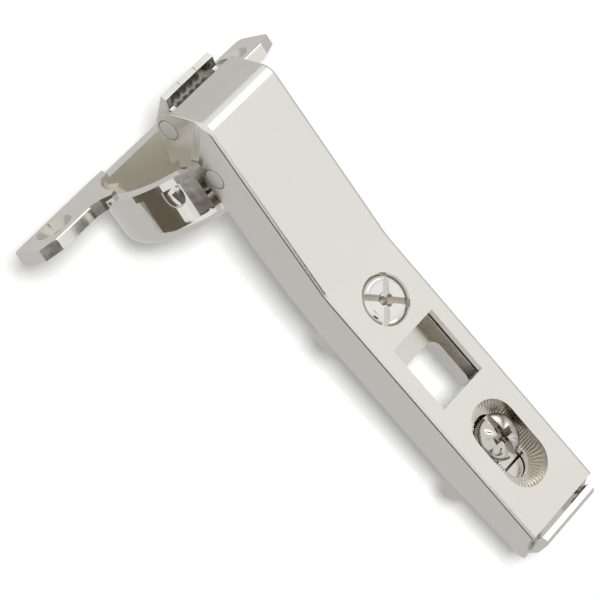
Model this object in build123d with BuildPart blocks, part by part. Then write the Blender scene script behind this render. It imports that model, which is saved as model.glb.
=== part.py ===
from build123d import *
from math import atan2, cos, degrees, radians, sin
import os

# Concealed cup hinge with an angled clip-on arm, drawn in its open position.
# X runs from the cup towards the arm, Y out of the cup, Z along the pivot pins.
# The origin is the cup centre on the door face. All sizes are in millimetres.

# Fits
RUN_FIT = 0.05
SEAT_FIT = 0.02
CLEAR = 0.3

# Cup and flange
CUP_R = 17.5
CUP_DEPTH = 10.4
CUP_FLOOR = 1.0
CUP_EDGE_R = 1.8
RING_R = 18.6
RING_T = 1.5
WING_T = 2.4
WING_BACK = -15.2
WING_FRONT = -4.4
WING_TIP = 33.4
WING_NECK = 20.5
WING_CHAMFER = (1.7, 3.4)
HOLE_SPACING = 52.0
HOLE_X = -10.0
HOLE_R = 2.0
HOLE_SINK_R = 3.6
WELL_BACK = -11.5
NOTCH_DEPTH = 7.6
NOTCH_RELIEF = 0.25
DISH_TOP_R = 15.6
DISH_LOW_R = 10.4
DISH_DEPTH = 4.4

# Pivots of the linkage in the open position
OUTER_CUP = (9.1, -2.6)
INNER_CUP = (3.7, -6.0)
FRONT_PIN = (13.9, 8.8)
REAR_PIN = (18.3, -2.3)
REAR_EYE = (18.7, -2.45)
PIN_R = 1.5
HEAD_R = 2.4
HEAD_T = 0.3

# Arm
ARM_HALF = 9.4
SHEET = 1.5
NOSE_INSET = 0.5
NOSE_RAMP = (22.4, 8.2)
NOSE_RAMP_W = 1.9
NOSE_FRONT = (17.3, 11.9)
NOSE_BEND = (25.6, 8.4)
KNEE = (27.1, -30.0)
TAIL = (40.4, -86.7)
NOSE_BEND_R = 3.4
KNEE_R = 9.0
CORNER_R = 0.9
WINDOW = (15.4, 29.7, 5.9)
SIDE_SCREW_S = 8.0
SIDE_SCREW_R = 4.65
SIDE_SCREW_TOP = 0.1
SLOT_TURN = 45
ADAPTER_REAR = 57.0
DEPTH_SCREW_S = ADAPTER_REAR - 16.0
POCKET = (DEPTH_SCREW_S - 2.2, DEPTH_SCREW_S + 6.0, 5.1)
POCKET_DEPTH = 3.0
SLOT = (DEPTH_SCREW_S - 2.8, DEPTH_SCREW_S + 6.4, 2.7)
DEPTH_HEAD_R = 4.4
DEPTH_SHANK_R = 2.4

# Links
WASHER_T = 0.9
LINK_HALF = ARM_HALF - SHEET - WASHER_T - CLEAR
LINK_SHEET = 1.2
LINK_EYE_R = 2.6
HOOD_TIP = (14.4, 14.6)
INNER_GAP = 0.6
INNER_HALF = LINK_HALF - LINK_SHEET - INNER_GAP
INNER_EYE_R = 2.75
REAR_EYE_BORE = 2.55
REAR_EYE_R = 3.8
COIL_R = 2.05
COIL_WIRE = 0.5
COIL_HALF = INNER_HALF
COIL_GROOVES = (-0.35, 0.35)

# Well of the cup, wide enough for the arm's rivet heads
WELL_HALF = ARM_HALF + HEAD_T + CLEAR + 0.05
PIN_SEAT = WELL_HALF + 2.35

# Clip adapter, its clamp and its release lever
ADAPTER_HALF = ARM_HALF - SHEET - CLEAR
ADAPTER_SHEET = 1.2
ADAPTER_TOP = POCKET_DEPTH + SHEET + CLEAR
ADAPTER_FRONT = 3.2
ADAPTER_EDGE = 9.6
ADAPTER_WINDOW = (20.2, 31.6, 5.3)
CLAMP_S = DEPTH_SCREW_S + 1.6
CLAMP_COLLAR = (8.8, 6.6)
CLAMP_GAP = 0.8
LEVER_PIN = (ADAPTER_REAR - 5.4, -8.0)
LEVER_PIN_R = 1.2
LEVER_SHEET = 1.1
LEVER_HALF = ADAPTER_HALF - ADAPTER_SHEET - CLEAR

# Frame of the rear half of the arm: first axis along the arm, second outwards
LEAN = atan2(TAIL[1] - KNEE[1], TAIL[0] - KNEE[0])
ALONG = (cos(LEAN), sin(LEAN), 0)
OUT = (-sin(LEAN), cos(LEAN), 0)
ARM_SIDE = Plane(origin=(KNEE[0], KNEE[1], 0), x_dir=ALONG, z_dir=(0, 0, 1))
OUTWARDS = Axis((KNEE[0], KNEE[1], 0), OUT)


def arm_xy(along, outward):
    """Point of the rear half of the arm in the main XY frame."""
    x = KNEE[0] + along * ALONG[0] + outward * OUT[0]
    y = KNEE[1] + along * ALONG[1] + outward * OUT[1]
    return (x, y)


def face_plane(along, outward):
    """Plane facing outwards, centred on a point of the arm."""
    x, y = arm_xy(along, outward)
    return Plane(origin=(x, y, 0), x_dir=ALONG, z_dir=OUT)


def save(shape, name):
    """Label one sub-part and write its file."""
    shape.label = name
    export_step(shape, f"parts/{name}.step")


os.makedirs("parts", exist_ok=True)

# Plane of the door face, seen from above the cup
DOOR = Plane(origin=(0, 0, 0), x_dir=(1, 0, 0), z_dir=(0, 1, 0))

# Cup: one die casting of the body, the rim and the two screw wings
with BuildPart() as hinge_cup:
    with BuildSketch(Plane.XY):
        with BuildLine():
            bottom_round = [
                (CUP_R - CUP_EDGE_R * (1 - sin(radians(a))), CUP_EDGE_R * (1 - cos(radians(a))) - CUP_DEPTH)
                for a in (0, 30, 60, 90)
            ]
            Polyline((0, 0), (0, -CUP_DEPTH), *bottom_round, (CUP_R, 0), (0, 0))
        make_face()
    revolve(axis=Axis.Y)
    with BuildSketch(DOOR):
        Circle(RING_R)
        with Locations((WING_BACK - 10, 0)):
            Rectangle(20, 3 * RING_R, mode=Mode.SUBTRACT)
    extrude(amount=RING_T)
    with BuildSketch(DOOR) as wings:
        for side in (1, -1):
            with BuildLine():
                Polyline(
                    (WING_BACK, side * 8.0),
                    (WING_BACK, side * (WING_TIP - 1.2)),
                    (WING_BACK + 1.2, side * WING_TIP),
                    (WING_FRONT - WING_CHAMFER[0], side * WING_TIP),
                    (WING_FRONT, side * (WING_TIP - WING_CHAMFER[1])),
                    (WING_FRONT, side * WING_NECK),
                    (WING_FRONT + 1.0, side * (WING_NECK - 1.8)),
                    (WING_FRONT + 3.4, side * (WING_NECK - 3.0)),
                    (WING_FRONT + 1.0, side * 13.0),
                    (WING_BACK, side * 8.0),
                )
            make_face()
    extrude(amount=WING_T)
    top_edges = hinge_cup.edges().filter_by(GeomType.LINE).filter_by(Axis.Z)
    fillet(top_edges.filter_by_position(Axis.Y, WING_T, WING_T), 0.4)
    # well for the linkage, open through the front wall down to the notch
    with BuildSketch(DOOR.offset(WING_T)):
        with Locations(((WELL_BACK + 7.0) / 2, 0)):
            RectangleRounded(7.0 - WELL_BACK, 2 * WELL_HALF, 2.0)
    extrude(amount=-(WING_T + CUP_DEPTH - CUP_FLOOR), mode=Mode.SUBTRACT)
    with BuildSketch(DOOR.offset(WING_T)):
        with Locations((3.5, 0)):
            Rectangle(19.0, 2 * WELL_HALF)
    extrude(amount=-(WING_T + CUP_DEPTH - CUP_FLOOR), mode=Mode.SUBTRACT)
    with BuildSketch(DOOR.offset(WING_T)):
        with Locations((14.0, 0)):
            Rectangle(16.0, 2 * WELL_HALF)
    extrude(amount=-(WING_T + NOTCH_DEPTH), mode=Mode.SUBTRACT)
    # lip under the notch, set back a little from the round wall
    with BuildSketch(DOOR.offset(-NOTCH_DEPTH)):
        with Locations((CUP_R, 0)):
            Rectangle(2 * WELL_HALF, 2 * WELL_HALF)
        Circle(CUP_R - NOTCH_RELIEF, mode=Mode.SUBTRACT)
    extrude(amount=-(CUP_DEPTH - NOTCH_DEPTH), mode=Mode.SUBTRACT)
    # sloping dish round the well
    with BuildSketch(Plane.XY):
        with BuildLine():
            Polyline(
                (0, WING_T + 1),
                (DISH_TOP_R + 0.8, WING_T + 1),
                (DISH_TOP_R, 0.6),
                (DISH_LOW_R, -DISH_DEPTH),
                (0, -DISH_DEPTH),
                (0, WING_T + 1),
            )
        make_face()
    dish = revolve(axis=Axis.Y, mode=Mode.PRIVATE)
    keep = Box(30, 30, 60, mode=Mode.PRIVATE).moved(Location((WELL_BACK + 15, 0, 0)))
    add(dish & keep, mode=Mode.SUBTRACT)
    # countersunk screw holes
    for side in (1, -1):
        with Locations(DOOR.offset(WING_T) * Location((HOLE_X, side * HOLE_SPACING / 2, 0))):
            CounterSinkHole(HOLE_R, HOLE_SINK_R, WING_T, 90)
    # seats of the pivot pins
    with BuildSketch(Plane.XY.offset(-PIN_SEAT)):
        with Locations(OUTER_CUP, INNER_CUP):
            Circle(PIN_R + SEAT_FIT)
    extrude(amount=2 * PIN_SEAT, mode=Mode.SUBTRACT)
save(hinge_cup.part, "hinge_cup")

# Outer pivot of the cup: two stub pins, so that the inner link passes between
STUB_FROM = LINK_HALF - LINK_SHEET - 0.2
with BuildPart() as cup_pin_outer:
    for side in (1, -1):
        with BuildSketch(Plane.XY.offset(side * STUB_FROM)):
            with Locations(OUTER_CUP):
                Circle(PIN_R)
        extrude(amount=side * (PIN_SEAT - STUB_FROM))
save(cup_pin_outer.part, "cup_pin_outer")

# Inner pivot of the cup: one through pin
with BuildPart() as cup_pin_inner:
    with BuildSketch(Plane.XY.offset(-PIN_SEAT)):
        with Locations(INNER_CUP):
            Circle(PIN_R)
    extrude(amount=2 * PIN_SEAT)
save(cup_pin_inner.part, "cup_pin_inner")

# Outer link: folded sheet, two eyes each side and a hooded back
with BuildPart() as outer_link:
    with BuildSketch(Plane.XY):
        with BuildLine():
            Polyline(
                (OUTER_CUP[0] - 2.6, OUTER_CUP[1] - 1.0),
                (OUTER_CUP[0] - 2.6, OUTER_CUP[1] + 1.6),
                (8.2, 3.0),
                (7.9, 5.4),
                (7.6, 7.4),
                (8.9, 10.0),
                HOOD_TIP,
                (HOOD_TIP[0] + 0.8, HOOD_TIP[1] - 0.95),
                (FRONT_PIN[0] + 0.6, FRONT_PIN[1] + 2.9),
                (FRONT_PIN[0] + 1.4, FRONT_PIN[1] + 2.1),
                (FRONT_PIN[0] + 2.4, FRONT_PIN[1] - 1.0),
                (OUTER_CUP[0] + 2.6, OUTER_CUP[1] - 0.4),
                (OUTER_CUP[0] - 2.6, OUTER_CUP[1] - 1.0),
            )
        make_face()
        with Locations(OUTER_CUP):
            Circle(LINK_EYE_R + 0.3)
        with Locations(FRONT_PIN):
            Circle(LINK_EYE_R)
    extrude(amount=LINK_HALF, both=True)
    with BuildSketch(Plane.XY):
        with BuildLine():
            Polyline(
                (4.0, -8.0),
                (4.0, 6.4),
                (7.9, 6.4),
                (8.7, 7.0),
                (9.7, 9.05),
                (HOOD_TIP[0] + 0.8, HOOD_TIP[1] - 0.95),
                (20.0, 15.0),
                (20.0, -8.0),
                (4.0, -8.0),
            )
        make_face()
    extrude(amount=LINK_HALF - LINK_SHEET, both=True, mode=Mode.SUBTRACT)
    with BuildSketch(Plane.XY.offset(-LINK_HALF)):
        with Locations(OUTER_CUP, FRONT_PIN):
            Circle(PIN_R + RUN_FIT)
    extrude(amount=2 * LINK_HALF, mode=Mode.SUBTRACT)
save(outer_link.part, "outer_link")

# Inner link: solid strap, its wide eye leaves the play of the open pivot
INNER_SPAN = (REAR_EYE[0] - INNER_CUP[0], REAR_EYE[1] - INNER_CUP[1])
with BuildPart() as inner_link:
    with BuildSketch(Plane.XY):
        with Locations(INNER_CUP):
            Circle(INNER_EYE_R)
        with Locations(REAR_EYE):
            Circle(REAR_EYE_R)
        middle = ((INNER_CUP[0] + REAR_EYE[0]) / 2, (INNER_CUP[1] + REAR_EYE[1]) / 2)
        with Locations(Location(middle, degrees(atan2(INNER_SPAN[1], INNER_SPAN[0])))):
            Rectangle(14.0, 3.6)
    extrude(amount=INNER_HALF, both=True)
    with BuildSketch(Plane.XY.offset(-INNER_HALF)):
        with Locations(INNER_CUP):
            Circle(PIN_R + RUN_FIT)
        with Locations(REAR_EYE):
            Circle(REAR_EYE_BORE)
    extrude(amount=2 * INNER_HALF, mode=Mode.SUBTRACT)
save(inner_link.part, "inner_link")

# Arm: folded channel with nose, knee, window, screw hole and drawn pocket
with BuildPart() as arm:
    with BuildSketch(Plane.XY):
        with BuildLine():
            Polyline(
                NOSE_FRONT,
                NOSE_BEND,
                KNEE,
                arm_xy(ADAPTER_REAR + 1.24, 0),
                arm_xy(ADAPTER_REAR + 1.4, -1.6),
                arm_xy(ADAPTER_REAR + 4.4, -7.0),
                arm_xy(ADAPTER_REAR + 3.6, -8.0),
                arm_xy(46.0, -9.2),
                arm_xy(41.0, -9.8),
                arm_xy(11.5, -9.9),
                arm_xy(4.0, -9.8),
                (17.2, -28.5),
                (16.3, -17.4),
                (16.0, -7.4),
                (15.5, -4.6),
                (15.3, -2.6),
                (16.2, -0.6),
                (17.2, 0.6),
                (16.6, 1.5),
                (13.4, 1.9),
                (11.1, 2.7),
                (9.0, 2.0),
                (8.4, 2.4),
                (10.7, 6.6),
                (10.9, 9.4),
                (12.4, 11.2),
                (14.6, 11.9),
                NOSE_FRONT,
            )
        make_face()
    extrude(amount=ARM_HALF, both=True)
    bends = arm.edges().filter_by(Axis.Z)
    near_bend = bends.sort_by_distance(Vertex(*NOSE_BEND, 0))[0]
    near_knee = bends.sort_by_distance(Vertex(*KNEE, 0))[0]
    fillet(near_bend, NOSE_BEND_R)
    fillet(near_knee, KNEE_R)
    # rounded bends between the face and the two side walls
    folds = []
    for side in (1, -1):
        level = side * ARM_HALF
        rim = arm.edges().filter_by_position(Axis.Z, level - 0.01, level + 0.01)
        for x, y in (arm_xy(30, 0), (NOSE_BEND[0], -12.0), (KNEE[0], KNEE[1]), NOSE_BEND):
            folds.append(rim.sort_by_distance(Vertex(x, y, level))[0])
    fillet(folds, CORNER_R)
    # hollow between the side walls, under the face sheet
    with BuildSketch(Plane.XY):
        with BuildLine():
            nose_turn = degrees(atan2(NOSE_BEND[1] - NOSE_FRONT[1], NOSE_BEND[0] - NOSE_FRONT[0]))
            under = (SHEET * sin(radians(nose_turn)), -SHEET * cos(radians(nose_turn)))
            inner_front = (NOSE_FRONT[0] + under[0], NOSE_FRONT[1] + under[1])
            inner_bend = (NOSE_BEND[0] - SHEET - 0.1, NOSE_BEND[1] - SHEET + 0.45)
            Polyline(
                (NOSE_FRONT[0] - 0.2, 30.0),
                (NOSE_FRONT[0] - 0.2, inner_front[1] + 0.1),
                inner_bend,
                (KNEE[0] - SHEET + 0.02, KNEE[1] - 0.2),
                arm_xy(70.0, -SHEET),
                arm_xy(70.0, -30.0),
                (-20.0, -40.0),
                (-20.0, 30.0),
                (NOSE_FRONT[0] - 0.2, 30.0),
            )
        make_face()
    extrude(amount=ARM_HALF - SHEET, both=True, mode=Mode.SUBTRACT)
    # the nose is pressed in a little narrower than the rest, behind a slanting ramp
    ramp_plane = Plane(origin=(*NOSE_RAMP, 0), x_dir=(-1, 1, 0), z_dir=(-1, -1, 0))
    for side in (1, -1):
        with BuildSketch(ramp_plane):
            with BuildLine():
                Polyline(
                    (-NOSE_RAMP_W / 2, side * (ARM_HALF + 1)),
                    (-NOSE_RAMP_W / 2, side * ARM_HALF),
                    (NOSE_RAMP_W / 2, side * (ARM_HALF - NOSE_INSET)),
                    (20.0, side * (ARM_HALF - NOSE_INSET)),
                    (20.0, side * (ARM_HALF + 1)),
                    (-NOSE_RAMP_W / 2, side * (ARM_HALF + 1)),
                )
            make_face()
        extrude(amount=20.0, both=True, mode=Mode.SUBTRACT)
    # pocket drawn into the face, with its floor slot
    with BuildSketch(face_plane((POCKET[0] + POCKET[1]) / 2, 0)):
        SlotCenterToCenter(POCKET[1] - POCKET[0], 2 * (POCKET[2] + 1.1))
    extrude(amount=-(POCKET_DEPTH + SHEET))
    with BuildSketch(face_plane((POCKET[0] + POCKET[1]) / 2, 0)):
        SlotCenterToCenter(POCKET[1] - POCKET[0], 2 * POCKET[2])
    extrude(amount=-POCKET_DEPTH, mode=Mode.SUBTRACT)
    with BuildSketch(face_plane((SLOT[0] + SLOT[1]) / 2, 0)):
        SlotCenterToCenter(SLOT[1] - SLOT[0], 2 * SLOT[2])
    extrude(amount=-2 * ARM_HALF, mode=Mode.SUBTRACT)
    # window and adjusting screw hole
    with BuildSketch(face_plane((WINDOW[0] + WINDOW[1]) / 2, 0)):
        Rectangle(WINDOW[1] - WINDOW[0], 2 * WINDOW[2])
    extrude(amount=-2 * SHEET, mode=Mode.SUBTRACT)
    with BuildSketch(face_plane(SIDE_SCREW_S, 0)):
        Circle(SIDE_SCREW_R + RUN_FIT)
    extrude(amount=-2 * SHEET, mode=Mode.SUBTRACT)
    with BuildSketch(face_plane(SIDE_SCREW_S, 0)):
        Circle(SIDE_SCREW_R + 0.35)
    extrude(amount=-0.7, taper=25, mode=Mode.SUBTRACT)
    # seats of the two arm pins
    with BuildSketch(Plane.XY.offset(-ARM_HALF)):
        with Locations(FRONT_PIN, REAR_PIN):
            Circle(PIN_R + SEAT_FIT)
    extrude(amount=2 * ARM_HALF, mode=Mode.SUBTRACT)
save(arm.part, "arm")


def headed_pin(centre, face):
    """Pin across the arm, riveted over outside each side wall."""
    with BuildPart() as pin:
        with BuildSketch(Plane.XY.offset(-face)):
            with Locations(centre):
                Circle(PIN_R)
        extrude(amount=2 * face)
        for side in (1, -1):
            with BuildSketch(Plane.XY.offset(side * face)):
                with Locations(centre):
                    Circle(HEAD_R)
            extrude(amount=side * HEAD_T)
    return pin.part


# Pins of the arm, riveted over the side walls
save(headed_pin(FRONT_PIN, ARM_HALF - NOSE_INSET), "arm_pin_front")
save(headed_pin(REAR_PIN, ARM_HALF), "arm_pin_rear")

# Washers that keep the outer link central on its pin
with BuildPart() as pin_washers:
    for side in (1, -1):
        with BuildSketch(Plane.XY.offset(side * (LINK_HALF + CLEAR))):
            with Locations(FRONT_PIN):
                Circle(2.5)
                Circle(PIN_R + SEAT_FIT, mode=Mode.SUBTRACT)
        extrude(amount=side * (ARM_HALF - SHEET - LINK_HALF - CLEAR))
save(pin_washers.part, "pin_washers")

# Closing spring: close-wound coil on the front pin with two legs
with BuildPart() as closing_spring:
    with BuildSketch(Plane.XY.offset(-COIL_HALF)):
        with Locations(FRONT_PIN):
            Circle(COIL_R + COIL_WIRE)
            Circle(COIL_R - COIL_WIRE, mode=Mode.SUBTRACT)
    extrude(amount=2 * COIL_HALF)
    for share in COIL_GROOVES:
        with BuildSketch(Plane.XY.offset(share * COIL_HALF - 0.1)):
            with Locations(FRONT_PIN):
                Circle(COIL_R + COIL_WIRE + 0.1)
                Circle(COIL_R + COIL_WIRE - 0.3, mode=Mode.SUBTRACT)
        extrude(amount=0.2, mode=Mode.SUBTRACT)
    for side in (1, -1):
        with BuildSketch(Plane.XY.offset(side * (COIL_HALF - 1.1))):
            with Locations(Location((FRONT_PIN[0] + 3.6, FRONT_PIN[1] - 1.6), 20)):
                Rectangle(6.4, 1.0)
        extrude(amount=side * 1.0)
save(closing_spring.part, "closing_spring")


# Side adjusting screw: cross-slotted head, neck and keeper disc
with BuildPart() as side_screw:
    with BuildSketch(face_plane(SIDE_SCREW_S, SIDE_SCREW_TOP)):
        Circle(SIDE_SCREW_R)
    extrude(amount=-2.3 - SIDE_SCREW_TOP)
    chamfer(side_screw.edges().filter_by(GeomType.CIRCLE).sort_by(OUTWARDS)[-1], 0.6)
    with BuildSketch(face_plane(SIDE_SCREW_S, -2.3)):
        Circle(2.8)
    extrude(amount=-5.3)
    with BuildSketch(face_plane(SIDE_SCREW_S, -7.6)):
        Circle(4.0)
    extrude(amount=-1.2)
    with BuildSketch(face_plane(SIDE_SCREW_S, SIDE_SCREW_TOP)):
        Rectangle(2 * SIDE_SCREW_R + 1, 1.25, rotation=SLOT_TURN)
        Rectangle(1.25, 2 * SIDE_SCREW_R + 1, rotation=SLOT_TURN)
    extrude(amount=-1.2, mode=Mode.SUBTRACT)
    with BuildSketch(face_plane(SIDE_SCREW_S, SIDE_SCREW_TOP)):
        Circle(1.6)
    extrude(amount=-2.2, taper=20, mode=Mode.SUBTRACT)
save(side_screw.part, "side_screw")

# Depth screw: domed head with a crossed driver recess, shank into the clamp
with BuildPart() as depth_screw:
    with BuildSketch(face_plane(DEPTH_SCREW_S, -POCKET_DEPTH + CLEAR)):
        Circle(DEPTH_HEAD_R)
    extrude(amount=2.6)
    chamfer(depth_screw.edges().filter_by(GeomType.CIRCLE).sort_by(OUTWARDS)[-1], 1.0)
    with BuildSketch(face_plane(DEPTH_SCREW_S, -POCKET_DEPTH + CLEAR)):
        Circle(DEPTH_SHANK_R)
    extrude(amount=-6.6)
    with BuildSketch(face_plane(DEPTH_SCREW_S, 0)):
        Rectangle(2 * DEPTH_HEAD_R + 1, 1.2)
    extrude(amount=-1.1, mode=Mode.SUBTRACT)
    with BuildSketch(face_plane(DEPTH_SCREW_S, 0)):
        Rectangle(5.2, 1.2)
        Rectangle(1.2, 6.4)
    extrude(amount=-2.2, mode=Mode.SUBTRACT)
save(depth_screw.part, "depth_screw")

# Adapter: inner channel with a window, a fork at the front and clip hooks
WEB_LOW = -(ADAPTER_TOP + ADAPTER_SHEET)
with BuildPart() as adapter:
    with BuildSketch(ARM_SIDE):
        with BuildLine():
            Polyline(
                (ADAPTER_FRONT, -ADAPTER_TOP),
                (ADAPTER_REAR, -ADAPTER_TOP),
                (ADAPTER_REAR + 1.2, -ADAPTER_EDGE + 1.6),
                (ADAPTER_REAR, -ADAPTER_EDGE + 0.8),
                (46.4, -ADAPTER_EDGE + 0.1),
                (45.9, -10.2),
                (44.6, -10.9),
                (43.0, -10.8),
                (42.2, -ADAPTER_EDGE),
                (12.0, -ADAPTER_EDGE),
                (11.5, -10.6),
                (12.2, -12.2),
                (9.6, -12.5),
                (6.8, -12.1),
                (5.2, -11.0),
                (4.2, -ADAPTER_EDGE),
                (ADAPTER_FRONT, -ADAPTER_EDGE + 1.0),
                (ADAPTER_FRONT, -ADAPTER_TOP),
            )
        make_face()
    extrude(amount=ADAPTER_HALF, both=True)
    with BuildSketch(ARM_SIDE):
        with BuildLine():
            Polyline((0, WEB_LOW), (70, WEB_LOW), (70, -20), (0, -20), (0, WEB_LOW))
        make_face()
    extrude(amount=ADAPTER_HALF - ADAPTER_SHEET, both=True, mode=Mode.SUBTRACT)
    with BuildSketch(face_plane((ADAPTER_WINDOW[0] + ADAPTER_WINDOW[1]) / 2, 0)):
        RectangleRounded(ADAPTER_WINDOW[1] - ADAPTER_WINDOW[0], 2 * ADAPTER_WINDOW[2], 2.2)
    extrude(amount=WEB_LOW - 0.1, mode=Mode.SUBTRACT)
    # open-ended fork round the neck of the side screw
    with BuildSketch(face_plane(SIDE_SCREW_S, 0)):
        with Locations((-6.0, 0)):
            Rectangle(18.0, 2 * 3.2)
        with Locations((2.8, 0)):
            Circle(3.2)
    extrude(amount=WEB_LOW - 0.1, mode=Mode.SUBTRACT)
    # opening for the raised collar of the clamp plate
    with BuildSketch(face_plane(CLAMP_S, 0)):
        RectangleRounded(CLAMP_COLLAR[0] + 0.8, CLAMP_COLLAR[1] + 0.8, 1.2)
    extrude(amount=WEB_LOW - 0.1, mode=Mode.SUBTRACT)
    # the lever works in the open rear end
    with BuildSketch(face_plane(ADAPTER_REAR, 0)):
        Rectangle(5.2, 2 * (ADAPTER_HALF - ADAPTER_SHEET))
    extrude(amount=WEB_LOW - 0.1, mode=Mode.SUBTRACT)
    with BuildSketch(Plane.XY.offset(-ADAPTER_HALF)):
        with Locations(arm_xy(*LEVER_PIN)):
            Circle(LEVER_PIN_R + SEAT_FIT)
    extrude(amount=2 * ADAPTER_HALF, mode=Mode.SUBTRACT)
save(adapter.part, "adapter")

# Clamp plate: threaded collar in the adapter and a foot under it
with BuildPart() as clamp_plate:
    with BuildSketch(face_plane(CLAMP_S, WEB_LOW - CLAMP_GAP)):
        RectangleRounded(12.0, 10.4, 0.8)
    extrude(amount=-1.8)
    with BuildSketch(face_plane(CLAMP_S, WEB_LOW - CLAMP_GAP)):
        RectangleRounded(CLAMP_COLLAR[0], CLAMP_COLLAR[1], 0.8)
    extrude(amount=ADAPTER_SHEET + CLAMP_GAP - 0.05)
    with BuildSketch(face_plane(DEPTH_SCREW_S, 0)):
        Circle(DEPTH_SHANK_R + RUN_FIT)
    extrude(amount=-12, mode=Mode.SUBTRACT)
save(clamp_plate.part, "clamp_plate")

# Release lever: rear plate, two cheeks and a catch nose under the pin
BACK = ADAPTER_REAR
with BuildPart() as release_lever:
    with BuildSketch(ARM_SIDE):
        with BuildLine():
            Polyline(
                (BACK - 7.6, -7.4),
                (BACK - 6.6, -6.7),
                (BACK - 4.0, -6.7),
                (BACK - 1.6, -6.2),
                (BACK + 1.6, -5.2),
                (BACK + 2.4, -2.2),
                (BACK + 2.4, -0.6),
                (BACK + 3.4, 0.0),
                (BACK + 4.3, -1.0),
                (BACK + 5.1, -5.2),
                (BACK + 4.6, -8.6),
                (BACK + 3.2, -9.2),
                (BACK - 2.0, -9.6),
                (BACK - 5.0, -10.4),
                (BACK - 7.2, -9.6),
                (BACK - 7.6, -7.4),
            )
        make_face()
    extrude(amount=LEVER_HALF, both=True)
    # rear plate, nearly as wide as the arm's inside
    with BuildSketch(ARM_SIDE):
        with BuildLine():
            Polyline(
                (BACK + 2.4, -2.2),
                (BACK + 2.4, -0.6),
                (BACK + 3.4, 0.0),
                (BACK + 4.3, -1.0),
                (BACK + 5.1, -5.2),
                (BACK + 4.6, -8.0),
                (BACK + 3.2, -8.0),
                (BACK + 2.4, -2.2),
            )
        make_face()
    extrude(amount=ADAPTER_HALF - 0.1, both=True)
    # hollow between the cheeks
    with BuildSketch(ARM_SIDE):
        with BuildLine():
            Polyline(
                (BACK - 17.0, 4.0),
                (BACK + 2.2, 4.0),
                (BACK + 2.2, -1.4),
                (BACK + 3.5, -2.4),
                (BACK + 3.9, -5.2),
                (BACK + 3.4, -7.6),
                (BACK + 2.0, -20.0),
                (BACK - 17.0, -20.0),
                (BACK - 17.0, 4.0),
            )
        make_face()
    extrude(amount=LEVER_HALF - LEVER_SHEET, both=True, mode=Mode.SUBTRACT)
    with BuildSketch(Plane.XY.offset(-LEVER_HALF)):
        with Locations(arm_xy(*LEVER_PIN)):
            Circle(LEVER_PIN_R + RUN_FIT)
    extrude(amount=2 * LEVER_HALF, mode=Mode.SUBTRACT)
save(release_lever.part, "release_lever")

# Lever pin, fast in the adapter walls
with BuildPart() as lever_pin:
    with BuildSketch(Plane.XY.offset(-ADAPTER_HALF)):
        with Locations(arm_xy(*LEVER_PIN)):
            Circle(LEVER_PIN_R)
    extrude(amount=2 * ADAPTER_HALF)
save(lever_pin.part, "lever_pin")

# Lever spring: small coil on the lever pin
LEVER_COIL_HALF = LEVER_HALF - LEVER_SHEET - 0.8
with BuildPart() as lever_spring:
    with BuildSketch(Plane.XY.offset(-LEVER_COIL_HALF)):
        with Locations(arm_xy(*LEVER_PIN)):
            Circle(LEVER_PIN_R + 0.75)
            Circle(LEVER_PIN_R + SEAT_FIT, mode=Mode.SUBTRACT)
    extrude(amount=2 * LEVER_COIL_HALF)
save(lever_spring.part, "lever_spring")
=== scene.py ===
"""Concealed cup hinge with an angled clip-on arm, dressed in bright nickel.

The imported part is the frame: X runs from the cup towards the arm, Y out of the cup and
Z along the pivot pins. Sizes in the classes are in millimetres, the scene is in metres.
"""

import logging
import math
from dataclasses import dataclass
from enum import Enum
from typing import Callable, Iterable, Sequence
import bmesh
import bpy
from bmesh.types import BMEdge, BMesh, BMVert
from bpy.types import ID, Material, Mesh, Node, NodeSocket, NodeTree, Object, World
from mathutils import Matrix, Vector


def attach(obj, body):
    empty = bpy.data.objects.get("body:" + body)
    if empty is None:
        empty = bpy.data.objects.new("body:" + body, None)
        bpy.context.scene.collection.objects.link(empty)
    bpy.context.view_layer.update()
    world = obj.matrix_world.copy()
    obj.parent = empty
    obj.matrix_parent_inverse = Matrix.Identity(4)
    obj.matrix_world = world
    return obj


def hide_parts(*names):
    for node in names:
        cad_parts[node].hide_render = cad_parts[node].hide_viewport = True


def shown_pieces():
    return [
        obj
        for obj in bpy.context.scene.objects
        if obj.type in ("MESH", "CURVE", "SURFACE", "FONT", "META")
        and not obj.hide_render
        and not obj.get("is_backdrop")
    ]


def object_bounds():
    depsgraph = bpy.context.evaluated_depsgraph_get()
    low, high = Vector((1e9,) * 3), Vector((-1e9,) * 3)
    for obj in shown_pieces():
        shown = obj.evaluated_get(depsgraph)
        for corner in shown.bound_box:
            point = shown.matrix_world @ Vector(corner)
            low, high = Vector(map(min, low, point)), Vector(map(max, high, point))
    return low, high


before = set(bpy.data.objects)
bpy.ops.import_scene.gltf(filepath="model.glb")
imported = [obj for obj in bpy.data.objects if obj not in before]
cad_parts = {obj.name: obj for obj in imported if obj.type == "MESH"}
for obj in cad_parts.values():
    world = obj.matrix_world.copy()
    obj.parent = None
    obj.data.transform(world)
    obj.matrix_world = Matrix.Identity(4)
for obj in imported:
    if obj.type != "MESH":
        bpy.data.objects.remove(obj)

log = logging.getLogger("cup_hinge")
MM = 0.001
TO_METRES = Matrix.Scale(MM, 4)
SHARP_ANGLE = math.radians(28)
# A face whose normal leans less than this on a direction runs along that direction
RUNS_ALONG = 0.5
WHITE = (1.0, 1.0, 1.0, 1.0)

# The rear half of the arm: its start, and the directions along it and out of its face
KNEE = (27.1, -30.0)
TAIL = (40.4, -86.7)
LEAN = math.atan2(TAIL[1] - KNEE[1], TAIL[0] - KNEE[0])
ALONG = Vector((math.cos(LEAN), math.sin(LEAN), 0.0))
OUT = Vector((-math.sin(LEAN), math.cos(LEAN), 0.0))
ACROSS = Vector((0.0, 0.0, 1.0))

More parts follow.
